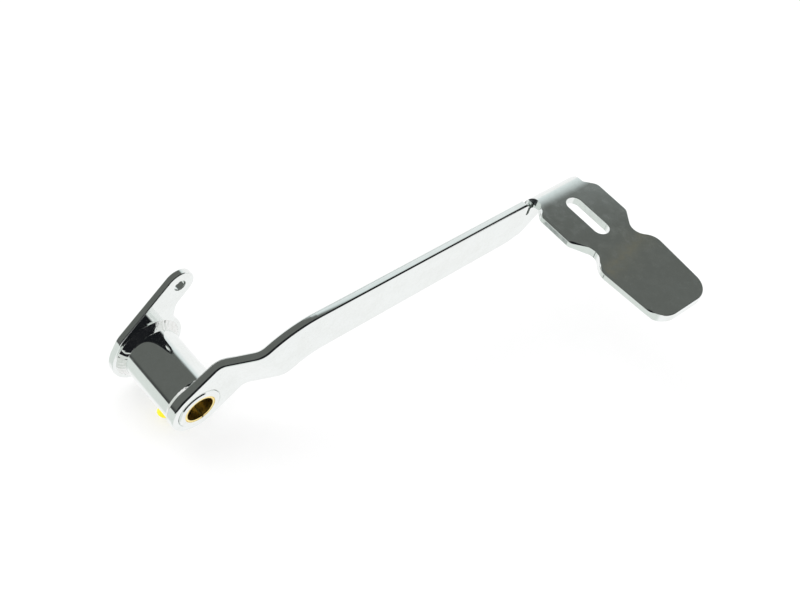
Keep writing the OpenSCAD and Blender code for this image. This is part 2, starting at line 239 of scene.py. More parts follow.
class Effects:
    """Shader groups that more than one finish uses, each built once."""

    def __init__(self) -> None:
        """Builds the groups."""
        self.polish = self._polish()
        self.clouding = self._clouding()
        self.scratches = self._scratches()

    @staticmethod
    def _polish() -> NodeTree:
        """Builds the slow waves that a buffing wheel leaves, with haze in its own patches.

        Returns:
            The group, which puts out a roughness and a height.
        """
        wiring, given, out = open_group(
            "Buffed Surface", "ShaderNodeTree",
            {"Vector": Socket.VECTOR, "Wave Scale": Socket.NUMBER, "Haze Scale": Socket.NUMBER,
             "Clear Roughness": Socket.NUMBER, "Hazy Roughness": Socket.NUMBER},
            {"Roughness": Socket.NUMBER, "Height": Socket.NUMBER})
        get = given.outputs
        patches = wiring.noise(get["Vector"], get["Haze Scale"], detail=3.0, roughness=0.62)
        share = wiring.ramp(patches, low=0.38, high=0.72)
        span = wiring.math("SUBTRACT", get["Hazy Roughness"], get["Clear Roughness"])
        wiring.feed(out.inputs["Roughness"],
                    wiring.math("MULTIPLY_ADD", share, span, get["Clear Roughness"]))
        wiring.feed(out.inputs["Height"], wiring.noise(
            get["Vector"], get["Wave Scale"], detail=1.0, roughness=0.3))
        return wiring.tree

    @staticmethod
    def _clouding() -> NodeTree:
        """Builds the faint clouds and warm tinge that age a bright metal.

        Returns:
            The group, which puts out a colour.
        """
        wiring, given, out = open_group(
            "Metal Clouding", "ShaderNodeTree",
            {"Vector": Socket.VECTOR, "Scale": Socket.NUMBER, "Clean": Socket.COLOUR,
             "Clouded": Socket.COLOUR, "Amount": Socket.NUMBER},
            {"Colour": Socket.COLOUR})
        get, fineness, fine_share = given.outputs, 7.0, 0.35
        broad = wiring.noise(get["Vector"], get["Scale"], detail=4.0, roughness=0.6)
        fine = wiring.noise(get["Vector"], wiring.math("MULTIPLY", get["Scale"], fineness),
                            detail=2.0, roughness=0.5)
        both = wiring.math("MULTIPLY_ADD", fine, fine_share,
                           wiring.math("MULTIPLY", broad, 1.0 - fine_share))
        share = wiring.math("MULTIPLY", wiring.ramp(both, low=0.36, high=0.66), get["Amount"])
        wiring.feed(out.inputs["Colour"], wiring.mix(share, get["Clean"], get["Clouded"]))
        return wiring.tree

    @staticmethod
    def _scratches() -> NodeTree:
        """Builds sparse hairline marks from handling, all drawn the same way along the piece.

        Returns:
            The group, which puts out a mask of the marks.
        """
        wiring, given, out = open_group(
            "Hairline Marks", "ShaderNodeTree",
            {"Vector": Socket.VECTOR, "Stretch": Socket.VECTOR, "Share": Socket.NUMBER},
            {"Mask": Socket.NUMBER})
        get, threshold, contrast = given.outputs, 0.86, 12.0
        drawn = wiring.node("ShaderNodeVectorMath", {0: get["Vector"], 1: get["Stretch"]},
                            operation="MULTIPLY").outputs["Vector"]
        lines = wiring.noise(drawn, scale=1.0, detail=1.0, roughness=0.4)
        where = wiring.noise(get["Vector"], scale=45.0, detail=2.0, roughness=0.5)
        edge = wiring.math("SUBTRACT", threshold, wiring.math("MULTIPLY", get["Share"], where))
        over = wiring.math("SUBTRACT", lines, edge)
        wiring.feed(out.inputs["Mask"], wiring.math("MULTIPLY", over, contrast, clamp=True))
        return wiring.tree


@dataclass(frozen=True)
class PaintedShadeBox:
    """Painted shade in a recess: inside a box with soft limits, the colour is darkened to a painted
    shade and the finish made rougher.
    """

    low: Triple
    high: Triple
    fade: float
    colour: Colour
    roughness: float

    def mask(self, wiring: Wiring, where: Value) -> Value:
        """Builds the mask.

        Args:
            wiring: The material's wiring.
            where: The coordinates that it reads.

        Returns:
            1 inside the box, falling to 0 outside it.
        """
        parts = wiring.node("ShaderNodeSeparateXYZ", {0: where})
        mask: Value = 1.0
        for axis, low, high in zip("XYZ", self.low, self.high):
            way = parts.outputs[axis]
            mask = wiring.math("MULTIPLY", mask, wiring.ramp(way, low - self.fade, low))
            mask = wiring.math("MULTIPLY", mask, wiring.ramp(way, high + self.fade, high))
        return mask


@dataclass(frozen=True)
class MetalFinish:
    """A bright metal: its colours, how well it is buffed, and its marks."""

    name: str
    clean: Colour
    clouded: Colour
    clouding: float
    cloud_scale: float
    clear_roughness: float
    hazy_roughness: float
    haze_scale: float
    wave_scale: float
    wave_height: float
    marks: float
    mark_stretch: Triple
    mark_depth: float = 0.05
    mark_roughness: float = 0.2
    # painted shade that darkens a recess of the piece, such as the top of the relief slot
    painted_shade: Optional[PaintedShadeBox] = None

    def material(self, effects: Effects) -> Material:
        """Builds the material.

        Args:
            effects: The shader groups that it places.

        Returns:
            The material.
        """
        made = bpy.data.materials.new(self.name)
        wiring = emptied(made)
        where = wiring.node("ShaderNodeTexCoord").outputs["Object"]
        polish = wiring.node("ShaderNodeGroup", {
            "Vector": where, "Wave Scale": self.wave_scale, "Haze Scale": self.haze_scale,
            "Clear Roughness": self.clear_roughness, "Hazy Roughness": self.hazy_roughness
        }, node_tree=effects.polish)
        colour = wiring.node("ShaderNodeGroup", {
            "Vector": where, "Scale": self.cloud_scale, "Clean": self.clean,
            "Clouded": self.clouded, "Amount": self.clouding
        }, node_tree=effects.clouding).outputs["Colour"]
        mask = wiring.node("ShaderNodeGroup", {
            "Vector": where, "Stretch": self.mark_stretch, "Share": self.marks
        }, node_tree=effects.scratches).outputs["Mask"]
        height = wiring.math("MULTIPLY_ADD", mask, -self.mark_depth, polish.outputs["Height"])
        roughness = wiring.math(
            "MULTIPLY_ADD", mask, self.mark_roughness, polish.outputs["Roughness"])
        # Painted shade: inside the recess box the colour darkens and the roughness rises.
        if self.painted_shade:
            shade_mask = self.painted_shade.mask(wiring, where)
            colour = wiring.mix(shade_mask, colour, self.painted_shade.colour)
            roughness = wiring.math("MULTIPLY_ADD", shade_mask, self.painted_shade.roughness, roughness)
        surface = wiring.node("ShaderNodeBsdfPrincipled", {
            "Base Color": colour, "Metallic": 1.0, "Roughness": roughness,
            "Normal": wiring.bump(height, self.wave_height)})
        wiring.node("ShaderNodeOutputMaterial", {"Surface": surface.outputs[0]})
        return made


@dataclass(frozen=True)
class MouldedPlastic:
    """Soft glossy plastic with a faint grain from its mould, and a painted glow in its own colour,
    though it is no lamp.
    """

    name: str
    colour: Colour
    shade: Colour
    roughness: float
    grain_scale: float
    grain_height: float
    # painted light: how strongly the plastic glows in its own colour
    glow: float
    clouding: float = 0.6
    cloud_scale: float = 260.0
    grain_roughness: float = 0.12
    coat: float = 0.25
    coat_roughness: float = 0.12

    def material(self, effects: Effects) -> Material:
        """Builds the material.

        Args:
            effects: The shader groups that it places.

        Returns:
            The material.
        """
        made = bpy.data.materials.new(self.name)
        wiring = emptied(made)
        where = wiring.node("ShaderNodeTexCoord").outputs["Object"]
        colour = wiring.node("ShaderNodeGroup", {
            "Vector": where, "Scale": self.cloud_scale, "Clean": self.colour,
            "Clouded": self.shade, "Amount": self.clouding
        }, node_tree=effects.clouding).outputs["Colour"]
        grain = wiring.noise(where, self.grain_scale, detail=3.0, roughness=0.6)
        rough = wiring.ramp(grain, low=0.3, high=0.7, to=(
            self.roughness, self.roughness + self.grain_roughness))
        # Painted light: the emission makes the plastic glow in its own colour.
        surface = wiring.node("ShaderNodeBsdfPrincipled", {
            "Base Color": colour, "Roughness": rough, "Emission Color": colour,
            "Emission Strength": self.glow, "Coat Weight": self.coat,
            "Coat Roughness": self.coat_roughness,
            "Normal": wiring.bump(grain, self.grain_height)})
        wiring.node("ShaderNodeOutputMaterial", {"Surface": surface.outputs[0]})
        return made


CHROME = MetalFinish(
    "Polished Chrome Plate", clean=(0.87, 0.895, 0.885), clouded=(0.81, 0.83, 0.81),
    clouding=0.6, cloud_scale=70.0, clear_roughness=0.05, hazy_roughness=0.11, haze_scale=160.0,
    wave_scale=55.0, wave_height=0.00004, marks=0.12, mark_stretch=(5200.0, 90.0, 5200.0))
# The arm's chrome, with painted shade darkening the top of the relief slot.
ARM_CHROME = replace(CHROME, name="Polished Chrome Plate, Dull in the Relief Slot", painted_shade=PaintedShadeBox(
    low=(9.0 * MM, 257.3 * MM, 59.3 * MM), high=(19.0 * MM, 260.4 * MM, 70.0 * MM),
    fade=0.7 * MM, colour=(0.10, 0.105, 0.11), roughness=0.25))
CAST_CHROME = MetalFinish(
    "Chrome Plate on Weld Metal", clean=(0.86, 0.87, 0.86),
    clouded=(0.70, 0.70, 0.67), clouding=0.6, cloud_scale=420.0, clear_roughness=0.06,
    hazy_roughness=0.15, haze_scale=500.0, wave_scale=420.0, wave_height=0.00012, marks=0.0,
    mark_stretch=(900.0, 900.0, 900.0))
BRONZE = MetalFinish(
    "Rolled Bronze", clean=(1.0, 0.83, 0.36), clouded=(0.93, 0.67, 0.26),
    clouding=0.55, cloud_scale=160.0, clear_roughness=0.16, hazy_roughness=0.26,
    haze_scale=300.0, wave_scale=200.0, wave_height=0.000006, marks=0.2,
    mark_stretch=(9000.0, 300.0, 300.0))
ZINC_STEEL = MetalFinish(
    "Zinc Plated Steel", clean=(0.74, 0.76, 0.77), clouded=(0.60, 0.58, 0.48),
    clouding=0.7, cloud_scale=520.0, clear_roughness=0.22, hazy_roughness=0.36,
    haze_scale=900.0, wave_scale=1500.0, wave_height=0.00001, marks=0.2,
    mark_stretch=(9000.0, 900.0, 900.0))
# The grease nipple's cap, with a painted glow that brightens its yellow.
YELLOW_PLASTIC = MouldedPlastic(
    "Yellow Cap Plastic", colour=(1.0, 0.87, 0.02), shade=(0.98, 0.80, 0.015),
    roughness=0.3, grain_scale=2200.0, grain_height=0.00002, glow=0.35)


def welded_copy(node: str) -> BMesh:
    """Copies a CAD node's loose triangles into one closed mesh.

    Args:
        node: The CAD node's name.

    Returns:
        The mesh as a BMesh, which the caller frees.
    """
    mesh = bmesh.new()
    mesh.from_mesh(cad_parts[node].data)
    bmesh.ops.remove_doubles(mesh, verts=mesh.verts, dist=WELD_GAP)
    return mesh


def merged_copy(node: str, cuts: Sequence[tuple[Vector, Vector]]) -> BMesh:
    """Copies a CAD node's loose triangles into one closed mesh of large flat faces.

    Args:
        node: The CAD node's name.
        cuts: Planes, each a point and a normal, that part a flat face on both sides of a hole.

    Returns:
        The mesh as a BMesh, which the caller frees.
    """
    mesh = welded_copy(node)
    for point, normal in cuts:
        split = bmesh.ops.bisect_plane(
            mesh, geom=mesh.verts[:] + mesh.edges[:] + mesh.faces[:], dist=HOLE_SNAP,
            plane_co=point, plane_no=normal)
        for part in split["geom_cut"]:
            if isinstance(part, BMEdge):
                part.seam = True
    bmesh.ops.dissolve_limit(mesh, angle_limit=FLAT_ANGLE, verts=mesh.verts,
                             edges=mesh.edges, delimit={"SEAM"})
    return mesh


def new_piece(name: str, data: Mesh, material: Material) -> Object:
    """Puts a mesh into the scene as an object at the origin.

    Args:
        name: The piece's name.
        data: Its mesh, in the pedal's frame.
        material: Its only material.

    Returns:
        The object.
    """
    data.materials.clear()
    data.materials.append(material)
    made = bpy.data.objects.new(name, data)
    bpy.context.scene.collection.objects.link(made)
    return made


def bake_modifiers(piece: Object) -> None:
    """Puts what a piece's modifiers make into its own mesh, and removes them.

    Args:
        piece: The piece to change.
    """
    bpy.context.view_layer.update()
    shown = piece.evaluated_get(bpy.context.evaluated_depsgraph_get())
    result = bpy.data.meshes.new_from_object(shown)
    result.name = piece.name
    piece.modifiers.clear()
    piece.data = result


class RolledPlate:
    """A plate's mesh with a round worked into the edges of its two large faces.

    The faces fall into groups that meet at sharp edges. The two groups with the most area are the
    plate's sides, and all others are its cut walls. Each vertex on a side's outline opens into an
    arc from the side to the wall, so the radius may change from place to place.
    """

    def __init__(self, mesh: BMesh, radius: Callable[[Vector], float],
                 bend: Callable[[Vector, Vector], Optional[Vector]], sharp: float, segments: int
                 ) -> None:
        """Works out the plate's groups and arcs.

        Args:
            mesh: The plate with sharp edges.
            radius: Gives the rounding at a point of the outline.
            bend: Gives the exact normal at a point, from the smooth one, where it is known.
            sharp: The least angle between faces that counts as an edge.
            segments: How many faces each arc has.
        """
        self.mesh = mesh
        self.radius = radius
        self.bend = bend
        self.sharp = sharp
        self.segments = segments
        self.group = self._groups()
        area: dict[int, float] = {}
        for face in mesh.faces:
            group = self.group[face]
            area[group] = area.get(group, 0.0) + face.calc_area()
        self.sides = set(sorted(area, key=area.get)[-2:])
        self.arcs: dict[BMVert, tuple[float, Vector, Vector]] = {}
        self.inward: dict[BMEdge, Vector] = {}
        self._open_outlines()
        self.points: list[Vector] = []
        self.faces: list[list[int]] = []
        self.normals: list[Vector] = []
        self._index: dict[tuple, int] = {}

    def _groups(self) -> dict[BMFace, int]:
        """Numbers the faces so that only sharp edges part two numbers.

        Returns:
            Each face's number.
        """
        found: dict[BMFace, int] = {}
        for start in self.mesh.faces:
            if start in found:
                continue
            number = len(set(found.values()))
            found[start] = number
            queue = [start]
            while queue:
                for edge in queue.pop().edges:
                    if edge.calc_face_angle(0.0) > self.sharp:
                        continue
                    for face in edge.link_faces:
                        if face not in found:
                            found[face] = number
                            queue.append(face)
        return found

    def _open_outlines(self) -> None:
        """Finds the radius and the two directions of the arc at each vertex of the outlines."""
        into_side: dict[BMVert, list[Vector]] = {}
        into_wall: dict[BMVert, list[Vector]] = {}
        for edge in self.mesh.edges:
            loops = [loop for loop in edge.link_loops if self.group[loop.face] in self.sides]
            if len(loops) != 1 or edge.calc_face_angle(0.0) <= self.sharp:
                continue
            side = loops[0]
            wall = side.link_loop_radial_next
            inward = self._across(side)
            self.inward[edge] = inward
            for vertex in edge.verts:
                into_side.setdefault(vertex, []).append(inward)
                into_wall.setdefault(vertex, []).append(self._across(wall))
        for vertex, ways in into_side.items():
            reach = self.radius(vertex.co)
            if reach > 0.0 and len(ways) == 2:
                mitre = (ways[0] + ways[1]) / (1.0 + ways[0].dot(ways[1]))
                self.arcs[vertex] = (reach, mitre, sum(into_wall[vertex], Vector()).normalized())

    @staticmethod
    def _across(loop: BMLoop) -> Vector:
        """Gives the way from a face's edge into the face, square to that edge."""
        along = (loop.link_loop_next.vert.co - loop.vert.co).normalized()
        return loop.face.normal.cross(along).normalized()

    def _point(self, vertex: BMVert, step: int) -> int:
        """Numbers one point of a vertex's arc, or the vertex itself where it stays sharp.

        The point is held inside the solids' box, which an arc on a slope could pass by a hair.

        Args:
            vertex: A vertex of the plate.
            step: 0 on the plate's side, up to the arc's number of faces on its wall.

        Returns:
            The point's index in the new mesh.
        """
        arc = self.arcs.get(vertex)
        key = (vertex, step if arc else 0)
        if key not in self._index:
            place = vertex.co.copy()
            if arc:
                reach, to_side, to_wall = arc
                turn = math.pi / 2 * step / self.segments
                place += reach * ((1 - math.sin(turn)) * to_side + (1 - math.cos(turn)) * to_wall)
            self._index[key] = len(self.points)
            self.points.append(Vector([
                min(max(way, low), high) for way, low, high in zip(place, *CAD_BOX)]))
        return self._index[key]

    def _flat_normal(self, loop: BMLoop) -> Vector:
        """Gives the normal at a face's corner.

        Args:
            loop: The face's loop at that corner.

        Returns:
            The exact normal where it is known, or else the average of the smooth faces.
        """
        near = [face for face in loop.vert.link_faces
                if face.normal.dot(loop.face.normal) > math.cos(self.sharp)]
        smooth = sum((face.normal * face.calc_area() for face in near), Vector()).normalized()
        return self.bend(loop.vert.co, smooth) or smooth

    def _add_face(self, corners: Sequence[int], normals: Sequence[Vector]) -> None:
        """Adds a face unless its points have closed up.

        Args:
            corners: The points' indices.
            normals: The normal at each corner.
        """
        kept = [i for i, corner in enumerate(corners) if corner != corners[i - 1]]
        if len(kept) > 2:
            self.faces.append([corners[i] for i in kept])
            self.normals.extend(normals[i] for i in kept)

    def _add_strip(self, side: BMLoop) -> None:
        """Adds the round along one edge of a side's outline.

        Args:
            side: The side face's loop that starts the edge.
        """
        edge_way = self.inward[side.edge]
        ends = []
        for vertex, loop in ((side.vert, side), (side.link_loop_next.vert, side.link_loop_next)):
            arc = self.arcs.get(vertex)
            way = edge_way
            if arc and arc[1].normalized().dot(edge_way) > math.cos(self.sharp / 2):
                way = arc[1].normalized()
            ends.append((vertex, self._flat_normal(loop), way))
        for step in range(self.segments):
            corners, normals = [], []
            for (vertex, flat, way), at in ((ends[1], step), (ends[0], step),
                                            (ends[0], step + 1), (ends[1], step + 1)):
                turn = math.pi / 2 * at / self.segments
                corners.append(self._point(vertex, at))
                normals.append((math.cos(turn) * flat - math.sin(turn) * way).normalized())
            self._add_face(corners, normals)

    def build(self, name: str) -> Mesh:
        """Builds the rounded mesh with its exact normals.

        Args:
            name: The mesh's name.

        Returns:
            The mesh.
        """
        for face in self.mesh.faces:
            step = 0 if self.group[face] in self.sides else self.segments
            self._add_face([self._point(loop.vert, step) for loop in face.loops],
                           [self._flat_normal(loop) for loop in face.loops])
            for loop in face.loops:
                if step == 0 and loop.edge in self.inward:
                    self._add_strip(loop)
        data = bpy.data.meshes.new(name)
        data.from_pydata(self.points, [], self.faces)
        data.shade_smooth()
        data.normals_split_custom_set(self.normals)
        data.update()
        return data


@dataclass
class CutPlate:
    """A piece cut from flat bar, whose edges are rolled over by the buffing wheel."""

    node: str
    name: str
    edge_radius: float
    sharp: float = math.radians(35)
    segments: int = 6

    def build(self, material: Material) -> Object:
        """Builds the piece over its CAD node.

        Args:
            material: Its finish.

        Returns:
            The finished piece, riding on the pedal.
        """
        mesh = merged_copy(self.node, self.cuts())
        self.shape(mesh)
        mesh.normal_update()
        plate = RolledPlate(mesh, self.rounding, self.bend, self.sharp, self.segments)
        data = plate.build(self.name)
        mesh.free()
        piece = new_piece(self.name, data, material)
        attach(piece, "pedal")
        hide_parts(self.node)
        return piece

    def cuts(self) -> list[tuple[Vector, Vector]]:
        """Gives the planes that part the faces on both sides of each hole: none by default."""
        return []

    def shape(self, mesh: BMesh) -> None:
        """Changes the plate's form before its edges are rolled: nothing, unless a piece does."""

    def bend(self, point: Vector, normal: Vector) -> Optional[Vector]:
        """Gives the exact normal at a point of a face, where it is known: nowhere by default."""
        return None

    def rounding(self, point: Vector) -> float:
        """Gives the radius of the rolled edge at a point of the outline."""
        return self.edge_radius


def eased(value: float, start: float, end: float) -> float:
    """Rises smoothly from 0 at the start to 1 at the end.

    Args:
        value: Where it is read.
        start: Where it leaves 0.
        end: Where it reaches 1.

    Returns:
        The share, from 0 to 1.
    """
    share = min(1.0, max(0.0, (value - start) / (end - start)))
    return share * share * (3 - 2 * share)


def cut_across(mesh: BMesh, axis: int, start: float, end: float, steps: int,
               taken: Callable[[BMFace], bool]) -> None:
    """Cuts some faces along evenly spaced planes square to an axis, so that they can bend there.

    A vertex that lies within CUT_SNAP of a plane takes the cut, so no sliver is left beside it.

    Args:
        mesh: The mesh, changed in place.
        axis: 0 for X, 1 for Y.
        start: Where the first plane lies.
        end: Where the last plane lies.
        steps: How many parts lie between them.
        taken: Tells whether a face is cut.
    """
    normal = Vector((1.0 - axis, float(axis), 0.0))
    for i in range(steps + 1):
        faces = [face for face in mesh.faces if taken(face)]
        around = {part for face in faces for part in (*face.edges, *face.verts)}
        bmesh.ops.bisect_plane(
            mesh, geom=faces + list(around), dist=CUT_SNAP,
            plane_co=normal * (start + (end - start) * i / steps), plane_no=normal)
        mesh.normal_update()


@dataclass
class BrakeArm(CutPlate):
    """The cranked bar with the foot pad folded out of its end."""

    climb: float = math.radians(35.5)
    bar_top: float = 58.5 * MM
    inner_face: float = 9.65 * MM
    pivot_hole: float = 17.2 * MM
    inner_pivot_face: float = -6.0 * MM
    inner_round: float = 0.25 * MM
    inner_blend: Span = (21 * MM, 34 * MM)
    level_from: float = 60.0 * MM
    level_to: float = 96.0 * MM
    level_end: float = 257.4 * MM
    level_upward: float = 0.85
    fall_height: float = 2.6 * MM
    fall_width: float = 0.5 * MM
    edge_fall: float = 0.42 * MM
    crown_span: Triple = (45.0 * MM, 63.0 * MM, 170.0 * MM)
    crown_slopes: Span = (0.145, 0.095)
    crown_parts: int = 28
    slot_at: Span = (47.4 * MM, 281.6 * MM)
    slot_reach: float = 19.5 * MM
    slot_half: float = 7.0 * MM
    slot_round: float = 0.4 * MM
    relief: Span = (257.4 * MM, 260.1 * MM)
    relief_near: Span = (1.4 * MM, 3.2 * MM)
    pad_round: float = 0.5 * MM
    pad_blend: float = 1 * MM
    fold_start: float = 51.6 * MM
    fold_end: float = 22.35 * MM
    fold_outer: float = 12.7 * MM
    fold_inner: float = 9.65 * MM
    fold_upward: float = 0.3
    pad_downward: float = -0.9
    fade: Triple = (16.0 * MM, 19.0 * MM, 26.6 * MM)
    fade_parts: int = 12
    fade_rate: float = 9.6

    def cuts(self) -> list[tuple[Vector, Vector]]:
        """Gives a plane across the round end and one across the foot pad's slot."""
        climb_way = Vector((0.0, math.cos(self.climb), math.sin(self.climb)))
        return [(Vector(), climb_way), (Vector((self.slot_at[0], 0, 0)), Vector((1, 0, 0)))]

    def shape(self, mesh: BMesh) -> None:
        """Lets the level run's cut edge fall away inwards, and the fold fade into the pad.

        Args:
            mesh: The plate, changed in place.
        """
        cut_across(mesh, 1, self.crown_span[0], self.crown_span[2], self.crown_parts,
                   self.on_level_edge)
        cut_across(mesh, 0, self.fade[0], self.fade[2], self.fade_parts, lambda face: True)
        for vertex in mesh.verts:
            x, y, z = vertex.co
            on_top = (z > self.bar_top - self.fall_height
                      and self.level_from < y < self.level_end + NEAR)
            if on_top and x < self.inner_face + self.fall_width:
                vertex.co.z -= self.edge_fall * eased(y, self.level_from, self.level_to)
            if z > self.fold_start and y > self.relief[1] - NEAR:
                vertex.co.z -= self.fold_sag(x)

    def on_level_edge(self, face: BMFace) -> bool:
        """Tells whether a face belongs to the upper cut edge of the bar's level run."""
        middle = face.calc_center_median()
        return (face.normal.z > self.level_upward and middle.z > self.fold_start
                and middle.x < self.fade[0])

    def bend(self, point: Vector, normal: Vector) -> Optional[Vector]:
        """Gives the normal of the level run's crowned edge and of the fold's fade into the pad.

        The crown is in the normals alone: no point of the edge is moved for it.

        Args:
            point: A point of a face.
            normal: The smooth normal there.

        Returns:
            The exact normal, or None outside both.
        """
        start, _, end = self.fade
        if point.y < self.relief[1] - NEAR and point.x < start + NEAR:
            if (normal.z < self.level_upward or point.z < self.fold_start
                    or point.x < self.inner_face - MM):
                return None
            first, second, last = self.crown_span
            if point.x < (self.inner_face + start) / 2:
                slope = self.crown_slopes[0] * eased(point.y, first, second)
            else:
                slope = self.crown_slopes[1] * eased(point.y, second, last)
            return (normal - Vector((slope, 0.0, 0.0))).normalized()
        on_top = normal.z > self.fold_upward and point.x > start - VERY_NEAR
        under = normal.z < self.pad_downward and point.x > self.fold_end
        if point.z < self.fold_start or point.x > end or not (on_top or under):
            return None
        up = Vector((-self.fold_slope(point.x), 0.0, 1.0)).normalized()
        return up if on_top else -up

    def fold_curl(self) -> float:
        """Gives how fast the slope changes in the fade's first part.

        Returns:
            The factor on the distance squared, which joins the true bend to the even fade.
        """
        start, turn, end = self.fade
        reach = self.fold_end - start
        true_slope = reach / math.sqrt(self.fold_outer ** 2 - reach ** 2)
        return (true_slope - self.fade_rate * (end - start)) / (turn - start) ** 2

    def fold_slope(self, x: float) -> float:
        """Gives how steeply the fold's outside rises at a place in the fade.

        Args:
            x: Distance from the bar's outer face, at the pivot.

        Returns:
            The slope, which the true bend has at the fade's start and the flat pad at its end.
        """
        _, turn, end = self.fade
        return self.fade_rate * (end - x) + self.fold_curl() * max(0.0, turn - x) ** 2

    def fold_sag(self, x: float) -> float:
        """Gives how far the fold and the pad beside it lie below a true quarter bend.

        Args:
            x: Distance from the bar's outer face, at the pivot.

        Returns:
            The drop in height, which is negative where the fold is fuller than a true bend.
        """
        start, turn, end = self.fade
        if x > end:
            return 0.0
        at = max(x, start)
        drop = (0.5 * self.fade_rate * (end - at) ** 2
                + self.fold_curl() * max(0.0, turn - at) ** 3 / 3)
        reach = max(0.0, self.fold_end - at)
        drop -= self.fold_outer - math.sqrt(self.fold_outer ** 2 - reach ** 2)
        return drop * min(1.0, max(0.0, (x - self.fold_inner) / (start - self.fold_inner)))

    def rounding(self, point: Vector) -> float:
        """Gives the rolled edge's radius: none at the pivot and the relief slot, full outside.

        Args:
            point: A point of the outline.

        Returns:
            The radius.
        """
        x, y, z = point
        from_pivot = math.hypot(y, z)
        if from_pivot < self.pivot_hole:
            return 0.0
        if abs(x - self.slot_at[0]) < self.slot_reach and abs(y - self.slot_at[1]) < self.slot_half:
            return self.slot_round
        radius = self.edge_radius + (self.pad_round - self.edge_radius) * eased(
            y, self.relief[1] - self.pad_blend, self.relief[1])
        if x < self.inner_pivot_face:
            radius = self.inner_round + (radius - self.inner_round) * eased(
                from_pivot, *self.inner_blend)
        from_relief = abs(y - (self.relief[0] + self.relief[1]) / 2)
        return radius - radius * (1.0 - eased(from_relief, *self.relief_near))


@dataclass
class RodLever(CutPlate):
    """The short lever on the tube's inner end that pulls the brake rod."""

    pivot_hole: float = 16.6 * MM
    pin: tuple[float, float] = (20.435 * MM, 48.142 * MM)
    pin_hole: float = 4.4 * MM
    pin_round: float = 0.35 * MM

    def cuts(self) -> list[tuple[Vector, Vector]]:
        """Gives two planes square to the lever, through the tube's hole and the pin's."""
        pin = Vector((0.0, *self.pin))
        return [(Vector((0, 0, 0)), pin.normalized()), (pin, pin.normalized())]

    def rounding(self, point: Vector) -> float:
        """Gives the rolled edge's radius: none round the tube, small round the pin.

        Args:
            point: A point of the outline.

        Returns:
            The radius.
        """
        _, y, z = point
        if math.hypot(y, z) < self.pivot_hole:
            return 0.0
        if math.hypot(y - self.pin[0], z - self.pin[1]) < self.pin_hole:
            return self.pin_round
        return self.edge_radius


@dataclass
class WeldBead:
    """A bead laid round the tube where a plate stands on it, rippled by the welder's steps."""

    node: str
    name: str
    face: float
    towards: float
    leg_out: float
    leg_along: float
    pitch: float
    depth: float
    seed: float
    tube_radius: float = 19.05 * MM
    bury: float = 0.25 * MM
    stop_at: float = 0.5
    stop_width: float = 0.03
    stop_height: float = 0.0
    calm_at: float = 0.0
    calm_width: float = 0.001
    crown: float = 0.5
    rows: int = 14
    around: int = 640

    def build(self, material: Material) -> Object:
        """Builds the bead with a Geometry Nodes tree.

        Args:
            material: Its finish.

        Returns:
            The finished bead, riding on the pedal.
        """
        tree, inputs = weld_tree()
        data = bpy.data.meshes.new(self.name)
        piece = bpy.data.objects.new(self.name, data)
        bpy.context.scene.collection.objects.link(piece)
        bead = piece.modifiers.new("Bead", "NODES")
        bead.node_group = tree
        values = {**vars(self), "material": material}
        for name, key in inputs.items():
            bead[key] = values[name.lower().replace(" ", "_")]
        bake_modifiers(piece)
        piece.data.shade_smooth()
        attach(piece, "pedal")
        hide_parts(self.node)
        return piece


